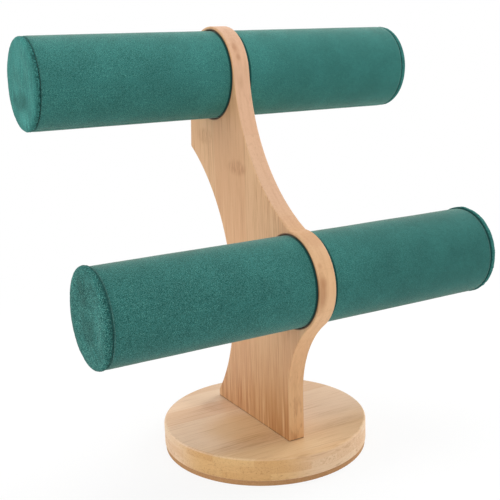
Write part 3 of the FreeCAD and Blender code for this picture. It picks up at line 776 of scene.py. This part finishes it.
class Bar:
    """The measures of one bar, read from its CAD nodes."""

    def __init__(self, name):
        self.name = name
        self.body = name + "_bar"
        low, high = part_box(name + "_cloth_sleeve")
        self.start = low.x
        self.end = high.x
        self.radius = (high.z - low.z) / 2
        self.axis_y = (low.y + high.y) / 2
        self.axis_z = (low.z + high.z) / 2
        self.left_seam = (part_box(name + "_left_end_cover")[1].x + low.x) / 2
        self.right_seam = (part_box(name + "_right_end_cover")[0].x + high.x) / 2

    def point(self, along, reach, angle):
        """A point at a distance from the axis. Angle 0 is the front and a quarter turn is the top."""
        return Vector((along, self.axis_y - reach * math.cos(angle), self.axis_z + reach * math.sin(angle)))


def turned_piece(name, bar, section, closed, turns, shape, material):
    """A mesh whose section is turned round a bar's axis. A section holds pairs of a place along the
    bar and a reach from the axis, and shape gives the shift of a point along and away from the axis.
    An open section starts and ends on the axis."""
    rows = section if closed else section[1:-1]
    points = []
    for along, reach in rows:
        for step in range(turns):
            angle = FULL_TURN * step / turns
            shift, rise = shape(along, reach, angle)
            points.append(bar.point(along + shift, reach + rise, angle))
    faces = []
    row_count = len(rows)
    for row in range(row_count if closed else row_count - 1):
        first = row * turns
        second = (row + 1) % row_count * turns
        for step in range(turns):
            following = (step + 1) % turns
            faces.append((first + step, first + following, second + following, second + step))
    if not closed:
        poles = ((section[0], 0, True), (section[-1], (row_count - 1) * turns, False))
        for (along, reach), first, flip in poles:
            pole = len(points)
            shift, rise = shape(along, reach, 0.0)
            points.append(bar.point(along + shift, 0.0, 0.0))
            for step in range(turns):
                corners = (first + step, first + (step + 1) % turns, pole)
                faces.append(corners[::-1] if flip else corners)
    mesh = bpy.data.meshes.new(name)
    mesh.from_pydata(points, [], faces)
    mesh.validate()
    mesh.shade_smooth()
    mesh.materials.append(material)
    piece = bpy.data.objects.new(name, mesh)
    bpy.context.scene.collection.objects.link(piece)
    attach(piece, bar.body)
    return piece


def sleeve_section(bar, outer, inner, rows):
    """A closed section: the outer face, an edge that curls down, the inner face and the other edge."""
    round_size = outer - inner
    first = bar.start + round_size
    last = bar.end - round_size
    curl = []
    for row in range(1, EDGE_ROWS):
        angle = QUARTER_TURN * row / EDGE_ROWS
        curl.append((round_size * math.sin(angle), inner + round_size * math.cos(angle)))
    section = [(first + (last - first) * row / rows, outer) for row in range(rows + 1)]
    section += [(last + along, reach) for along, reach in curl]
    section += [(bar.end + (bar.start - bar.end) * row / rows, inner) for row in range(rows + 1)]
    section += [(first - along, reach) for along, reach in reversed(curl)]
    return section


# The cloth sleeves: gentle waves, a butt seam along them, and ends that drop a little and are frayed
CLOTH_THICKNESS = 0.8 * MILLI
SLEEVE_TURNS = 320
SLEEVE_ROWS = 144
SLEEVE_WAVE = 0.1 * MILLI
SLEEVE_WAVE_SIZE = 28 * MILLI
SLEEVE_END_DROP = 0.25 * MILLI
SLEEVE_END_REACH = 2.2 * MILLI
SLEEVE_FUZZ_SHARE = 0.15
FUZZ_DEPTH = 0.22 * MILLI
FUZZ_SIZE = 1.2 * MILLI
SEAM_ANGLE = math.radians(-70)
SEAM_DEPTH = 0.45 * MILLI
SEAM_HALF_WIDTH = 0.5 * MILLI


def seam_groove(bar, angle, seam_angle):
    """How deep the groove of a seam along a bar is at an angle."""
    turn = abs((angle - seam_angle + math.pi) % FULL_TURN - math.pi)
    aside = turn * bar.radius / SEAM_HALF_WIDTH
    return SEAM_DEPTH * math.exp(-aside * aside)


def make_sleeve(bar, material):
    """The cloth tube, glued round the foam with a butt seam below."""
    inner = bar.radius - CLOTH_THICKNESS
    middle = bar.radius - CLOTH_THICKNESS / 2

    def shape(along, reach, angle):
        if reach < middle:
            return 0.0, 0.0
        place = bar.point(along, reach, angle)
        fuzz = wave(place, FUZZ_SIZE, FUZZ_DEPTH)
        rise = wave(place, SLEEVE_WAVE_SIZE, SLEEVE_WAVE) + fuzz * SLEEVE_FUZZ_SHARE
        from_end = min(along - bar.start, bar.end - along)
        shift = 0.0
        if from_end < SLEEVE_END_REACH:
            share = 1 - from_end / SLEEVE_END_REACH
            rise -= SLEEVE_END_DROP * share ** 2
            shift = fuzz * share * (reach - inner) / CLOTH_THICKNESS
        return shift, rise - seam_groove(bar, angle, SEAM_ANGLE)

    section = sleeve_section(bar, bar.radius, inner, SLEEVE_ROWS)
    name = bar.name + "_suede_sleeve"
    piece = turned_piece(name, bar, section, True, SLEEVE_TURNS, shape, material)
    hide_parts(bar.name + "_cloth_sleeve")


# The cloth over the ends: a crowned face with a roll near its rim, a puckered side that lies a little
# above or below the sleeve, and an edge that is tucked into the seam
COVER_TURNS = 480
COVER_FACE_ROWS = 30
COVER_RIM_ROWS = 9
COVER_SIDE_ROWS = 5
COVER_CROWN = {"upper": 0.4 * MILLI, "lower": 0.1 * MILLI}
COVER_ROLL = {"upper": 0.4 * MILLI, "lower": 0.8 * MILLI}
COVER_PROUD = {"upper": -0.2 * MILLI, "lower": 0.6 * MILLI}
COVER_LIFT = {"upper": 0.0, "lower": 0.45 * MILLI}
COVER_RIM_ROUND = 2.2 * MILLI
COVER_INNER_ROUND = 0.7 * MILLI
COVER_CURL = 0.9 * MILLI
ROLL_PLACE = 0.8
ROLL_HALF_WIDTH = 0.18
ROLL_MEAN = 0.7
ROLL_WAVE = 0.6
ROLL_WAVE_SIZE = 16 * MILLI
TUCK_DEPTH = 2.4 * MILLI
TUCK_THICKNESS = 0.3 * MILLI
TUCK_ROOM = 0.02 * MILLI
SIDE_STEEPNESS = 5
PUCKER_DEPTH = 0.25 * MILLI
PUCKER_SIZE = 3.2 * MILLI
FACE_WAVE = 0.3 * MILLI
FACE_WAVE_SIZE = 12 * MILLI
FACE_FUZZ_SHARE = 0.4


def cover_section(depth, gap, radius, proud, crown):
    """Pairs of a depth from the bar's end and a reach: from the middle of the outer face over the soft
    rim and the side, round the curl into the gap beside the sleeve, and back along the inner face."""
    rim = COVER_RIM_ROUND
    rim_reach = radius + proud
    points = []
    for row in range(COVER_FACE_ROWS):
        share = row / COVER_FACE_ROWS
        points.append((-crown * (1 - share * share), (rim_reach - rim) * share))
    for row in range(COVER_RIM_ROWS + 1):
        angle = QUARTER_TURN * row / COVER_RIM_ROWS
        points.append((rim * (1 - math.cos(angle)), rim_reach - rim * (1 - math.sin(angle))))
    side_end = depth - COVER_CURL
    for row in range(1, COVER_SIDE_ROWS + 1):
        share = row / COVER_SIDE_ROWS
        points.append((rim + (side_end - rim) * share, rim_reach))
    tuck = depth + gap - TUCK_ROOM
    for row in range(1, EDGE_ROWS + 1):
        angle = QUARTER_TURN * row / EDGE_ROWS
        curled = rim_reach - (COVER_CURL + proud) * (1 - math.cos(angle))
        points.append((side_end + (tuck - side_end) * math.sin(angle), curled))
    inner = radius - CLOTH_THICKNESS
    points.append((tuck, radius - TUCK_DEPTH))
    points.append((tuck - TUCK_THICKNESS, radius - TUCK_DEPTH))
    points.append((tuck - TUCK_THICKNESS, inner))
    inner_round = COVER_INNER_ROUND
    for row in range(COVER_RIM_ROWS + 1):
        angle = QUARTER_TURN * (1 - row / COVER_RIM_ROWS)
        into = CLOTH_THICKNESS + inner_round * (1 - math.cos(angle))
        points.append((into, inner - inner_round * (1 - math.sin(angle))))
    for row in range(COVER_FACE_ROWS - 1, -1, -1):
        points.append((CLOTH_THICKNESS, (inner - inner_round) * row / COVER_FACE_ROWS))
    return points


def make_cover(bar, side, material):
    """The cloth over an end. The roll near the rim is as high inside as outside, so the cloth keeps
    its thickness there."""
    outward = SIDES[side]
    node = bar.name + "_" + side + "_end_cover"
    low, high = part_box(node)
    end = high.x if outward > 0 else low.x
    depth = high.x - low.x
    gap = abs((bar.right_seam if outward > 0 else bar.left_seam) - (end - outward * depth)) * 2
    section = cover_section(depth, gap, bar.radius, COVER_PROUD[bar.name], COVER_CROWN[bar.name])
    section = [(end - outward * into, reach) for into, reach in section]
    middle = bar.radius - CLOTH_THICKNESS / 2

    def shape(along, reach, angle):
        into = (end - along) * outward
        on_face = into < CLOTH_THICKNESS / 2
        aside = (reach / bar.radius - ROLL_PLACE) / ROLL_HALF_WIDTH
        uneven = ROLL_MEAN + wave(bar.point(end, bar.radius, angle), ROLL_WAVE_SIZE, ROLL_WAVE)
        roll = COVER_ROLL[bar.name] * uneven * math.exp(-aside * aside)
        if not on_face and reach < middle:
            return (outward * roll if into < 2 * CLOTH_THICKNESS else 0.0), 0.0
        place = bar.point(along, reach, angle)
        at_side = min(1.0, max(0.0, reach / bar.radius * SIDE_STEEPNESS - (SIDE_STEEPNESS - 1))) ** 2
        fuzz = wave(place, FUZZ_SIZE, FUZZ_DEPTH)
        lift = COVER_LIFT[bar.name] * math.sin(angle)
        rise = (wave(place, PUCKER_SIZE, PUCKER_DEPTH) + fuzz + lift) * at_side
        face = (wave(place, FACE_WAVE_SIZE, FACE_WAVE) + fuzz * FACE_FUZZ_SHARE) * (1 - at_side)
        roll *= max(0.0, 1 - max(0.0, into) / COVER_RIM_ROUND)
        return outward * (face + roll), rise

    name = bar.name + "_" + side + "_suede_end"
    piece = turned_piece(name, bar, section, False, COVER_TURNS, shape, material)
    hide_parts(node)


# The padding: a foam sheet, nearly tight
FOAM_ROWS = 24
FOAM_WAVE = 0.03 * MILLI
FOAM_SEAM_ANGLE = SEAM_ANGLE + QUARTER_TURN


def make_foam(bar, material):
    """The padding between tube and cloth, a foam sheet with its butt joint away from the cloth's."""
    low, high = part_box(bar.name + "_foam_wrap")
    tube_low, tube_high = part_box(bar.name + "_core_tube")
    outer = (high.z - low.z) / 2
    layer_gap = bar.radius - CLOTH_THICKNESS - outer
    inner = (tube_high.z - tube_low.z) / 2 + layer_gap

    def shape(along, reach, angle):
        if reach < outer:
            return 0.0, 0.0
        place = bar.point(along, reach, angle)
        return 0.0, wave(place, SLEEVE_WAVE_SIZE, FOAM_WAVE) - seam_groove(bar, angle, FOAM_SEAM_ANGLE)

    section = sleeve_section(bar, outer, inner, FOAM_ROWS)
    name = bar.name + "_foam_padding"
    piece = turned_piece(name, bar, section, True, SLEEVE_TURNS, shape, material)
    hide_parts(bar.name + "_foam_wrap")


# Dress the stand and its fasteners
bars = [Bar(name) for name in BARS]
dress("upright", upright_bamboo(bars))
dress("base_disc", disc_bamboo())
dress("base_pad", cork_rubber())
zinc = turned_metal("zinc_steel", **ZINC)
dress("base_screws", zinc)
dress("base_washers", zinc)
dress("foot_inserts", turned_metal("brass", **BRASS))

# The cloths come from different pieces of suede and are brushed different ways. The lightness of
# each piece also holds painted shade, which makes the lower bar's pieces darker than the upper bar's.
SLEEVE_CLOTH = {
    "upper": {"lightness": 1.22, "grain": 0.95, "cut_edge": 0.15, "shadow_and_pressed_share": 0.9},
    "lower": {"lightness": 0.98, "grain": 1.4, "cut_edge": 0.45, "shadow_and_pressed_share": 0.9},
}
COVER_CLOTH = {
    "upper": {"grain": 0.8, "coarse": 1.0, "brush": (1.0, 1.0, 0.3)},
    "lower": {"grain": 2.2, "coarse": 1.5, "brush": (1.0, 1.0, 1.0)},
}
COVER_CLUMPS = 0.12
COVER_SEAM_DOTS = 1.0
COVER_SHEEN = (0.15, 0.2)
UPPER_LEFT_PATCHES = (
    (2 * MILLI, -11 * MILLI, 24 * MILLI, 9 * MILLI, -0.28),
    (-2 * MILLI, -21 * MILLI, 14 * MILLI, 8 * MILLI, 0.26),
    (-4 * MILLI, 18 * MILLI, 22 * MILLI, 16 * MILLI, 0.14),
)
# Lower left end: the two darker patches near the middle are painted shade of a sunken middle
LOWER_LEFT_PATCHES = (
    (4 * MILLI, 15 * MILLI, 14 * MILLI, 11 * MILLI, -0.24),
    (1 * MILLI, -7 * MILLI, 15 * MILLI, 11 * MILLI, -0.24),
    (-18 * MILLI, 2 * MILLI, 11 * MILLI, 20 * MILLI, 0.14),
)
RIGHT_PATCHES = (
    (0.0, 0.0, 31 * MILLI, 31 * MILLI, -0.24),
    (7 * MILLI, 5 * MILLI, 20 * MILLI, 14 * MILLI, -0.12),
    (-10 * MILLI, -14 * MILLI, 14 * MILLI, 9 * MILLI, 0.08),
)
# The lightness of each end holds painted shade too: the lower bar's ends are darker
END_CLOTH = {
    ("upper", "left"): {"lightness": 1.3, "seam_reach": 0.9 * MILLI, "patches": UPPER_LEFT_PATCHES},
    ("upper", "right"): {"lightness": 1.25, "seam_reach": 0.5 * MILLI, "patches": RIGHT_PATCHES},
    ("lower", "left"): {"lightness": 0.93, "seam_reach": 1.6 * MILLI, "patches": LOWER_LEFT_PATCHES},
    ("lower", "right"): {"lightness": 1.15, "seam_reach": 0.7 * MILLI, "patches": RIGHT_PATCHES},
}

# Build the bars
padding_foam = foam()
plug_board = fibreboard()
for bar in bars:
    make_foam(bar, padding_foam)
    make_sleeve(bar, suede(bar.name + "_sleeve_suede", bar, **SLEEVE_CLOTH[bar.name]))
    dress(bar.name + "_core_tube", wound_card(bar))
    for side in SIDES:
        end_name = bar.name + "_" + side + "_end"
        cover_suede = suede(end_name + "_suede", bar, clumps=COVER_CLUMPS, seam_dots=COVER_SEAM_DOTS,
                            sheen=COVER_SHEEN, **COVER_CLOTH[bar.name], **END_CLOTH[bar.name, side])
        make_cover(bar, side, cover_suede)
        dress(end_name + "_plug", plug_board)


# Floor: white for the eye, with the object's soft shadow near it
FLOOR_HALF_WIDTH = 4.0
FLOOR_ALBEDO = (0.9, 0.9, 0.9, 1.0)
FLOOR_GLOW = 1.0
SHADOW_SHARE = 0.16
SHADOW_NEAR = 0.25
SHADOW_FAR = 0.6


def seen(nodes):
    """One for rays that show a surface to the eye, straight, in gloss or through glass."""
    rays = nodes.add("LightPath", {}).outputs
    glossy = nodes.math("MAXIMUM", rays["Is Camera Ray"], rays["Is Glossy Ray"])
    return nodes.math("MAXIMUM", glossy, rays["Is Transmission Ray"])


def make_floor():
    half = FLOOR_HALF_WIDTH
    corners = [(-half, -half, 0), (half, -half, 0), (half, half, 0), (-half, half, 0)]
    mesh = bpy.data.meshes.new("floor")
    mesh.from_pydata(corners, [], [(0, 1, 2, 3)])
    floor = bpy.data.objects.new("floor", mesh)
    bpy.context.scene.collection.objects.link(floor)
    paint = Paint("white_floor", roughness=1.0, specular=0.0)
    paint.colour(FLOOR_ALBEDO)
    white = paint.fade(paint.length(paint.place()), SHADOW_NEAR, SHADOW_FAR, 1 - SHADOW_SHARE, 1.0)
    glow = paint.add("Emission", {"Color": WHITE, "Strength": FLOOR_GLOW})
    factor = paint.product(seen(paint), white)
    mixed = paint.add("MixShader", {0: factor, 1: paint.shader.outputs[0], 2: glow.outputs[0]})
    paint.feed(paint.tree.nodes["Material Output"].inputs["Surface"], mixed.outputs[0])
    mesh.materials.append(paint.material)


# Light: a white sky that lights less than it shows, and large soft lamps above, at both sides, in front
# and behind
SKY_LIGHT = 0.35
SKY_SEEN = 1.0
LAMPS = {
    "top": {"place": (0.0, 0.0, 1.5), "size": 1.4, "power": 10.0},
    "left": {"place": (-1.2, 0.3, 0.6), "size": 1.0, "power": 7.0},
    "front": {"place": (-0.6, -0.95, 0.85), "size": 1.0, "power": 5.0},
    "right": {"place": (1.2, 0.1, 0.6), "size": 1.0, "power": 14.5},
    "back": {"place": (0.4, 1.2, 0.9), "size": 1.0, "power": 1.5},
}
LAMP_TARGET = Vector((0.0, 0.0, 0.15))


def make_lights():
    for name, lamp in LAMPS.items():
        data = bpy.data.lights.new(name, "AREA")
        data.energy = lamp["power"]
        data.size = lamp["size"]
        light = bpy.data.objects.new(name, data)
        light.location = lamp["place"]
        light.rotation_euler = (LAMP_TARGET - light.location).to_track_quat("-Z", "Y").to_euler()
        bpy.context.scene.collection.objects.link(light)
    world = bpy.data.worlds.new("sky")
    bpy.context.scene.world = world
    world.use_nodes = True
    sky = Nodes(world.node_tree)
    background = sky.tree.nodes["Background"]
    strength = sky.add("MapRange", {"Value": seen(sky), "To Min": SKY_LIGHT, "To Max": SKY_SEEN})
    sky.feed(background.inputs["Color"], WHITE)
    sky.feed(background.inputs["Strength"], strength.outputs[0])


# Camera, fitted to the photo
CAMERA_PLACE = Vector((-0.31461, -0.53605, 0.29191))
CAMERA_AZIMUTH = math.radians(-29.76)
CAMERA_ELEVATION = math.radians(13.197)
CAMERA_ROLL = math.radians(-1.821)
CAMERA_LENS = 64.06
CAMERA_SENSOR = 36.0


def make_camera():
    azimuth, elevation, roll = CAMERA_AZIMUTH, CAMERA_ELEVATION, CAMERA_ROLL
    level = math.cos(elevation)
    back = Vector((math.sin(azimuth) * level, -math.cos(azimuth) * level, math.sin(elevation)))
    right = Vector((math.cos(azimuth), math.sin(azimuth), 0))
    up = back.cross(right)
    turned_right = math.cos(roll) * right + math.sin(roll) * up
    turned_up = math.cos(roll) * up - math.sin(roll) * right
    data = bpy.data.cameras.new("camera")
    data.lens = CAMERA_LENS
    data.sensor_width = CAMERA_SENSOR
    camera = bpy.data.objects.new("camera", data)
    turn = Matrix((turned_right, turned_up, back)).transposed()
    camera.matrix_world = Matrix.Translation(CAMERA_PLACE) @ turn.to_4x4()
    bpy.context.scene.collection.objects.link(camera)
    bpy.context.scene.camera = camera


make_floor()
make_lights()
make_camera()
bpy.context.scene.view_settings.view_transform = "Standard"
